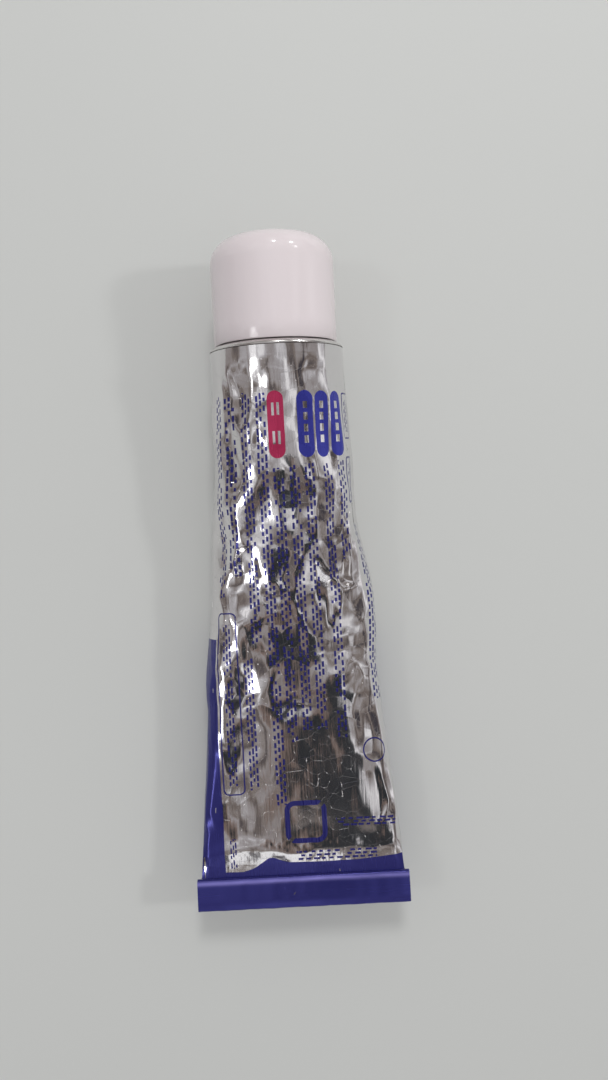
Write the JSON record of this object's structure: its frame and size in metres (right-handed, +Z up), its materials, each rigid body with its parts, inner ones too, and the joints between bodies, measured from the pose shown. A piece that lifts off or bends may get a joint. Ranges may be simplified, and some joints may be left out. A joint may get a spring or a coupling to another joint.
{
  "type": "cream tube",
  "caption": "Partly used, crumpled aluminium cream tube with a tall rounded screw cap and a double-folded end, lying on its back.",
  "frame": {"origin": "on the table, under the middle of the tube's bounding box", "axes": "+Y towards the cap, +Z up from the table, +X to the right seen from above with the cap away"},
  "size_m": [0.0356, 0.1116, 0.0228],
  "materials": {
    "metal": "polished",
    "cap": "gloss",
    "cream": "satin"
  },
  "bodies": {
    "tube": {"tube_body": "metal", "cream": "cream"},
    "cap": {"cap": "cap"}
  },
  "joints": [
    {"name": "cap_unscrew", "type": "slide", "parent": "tube", "child": "cap", "axis": [0, 0.9954, 0.0958], "range_m": [0, 0.014]}
  ]
}
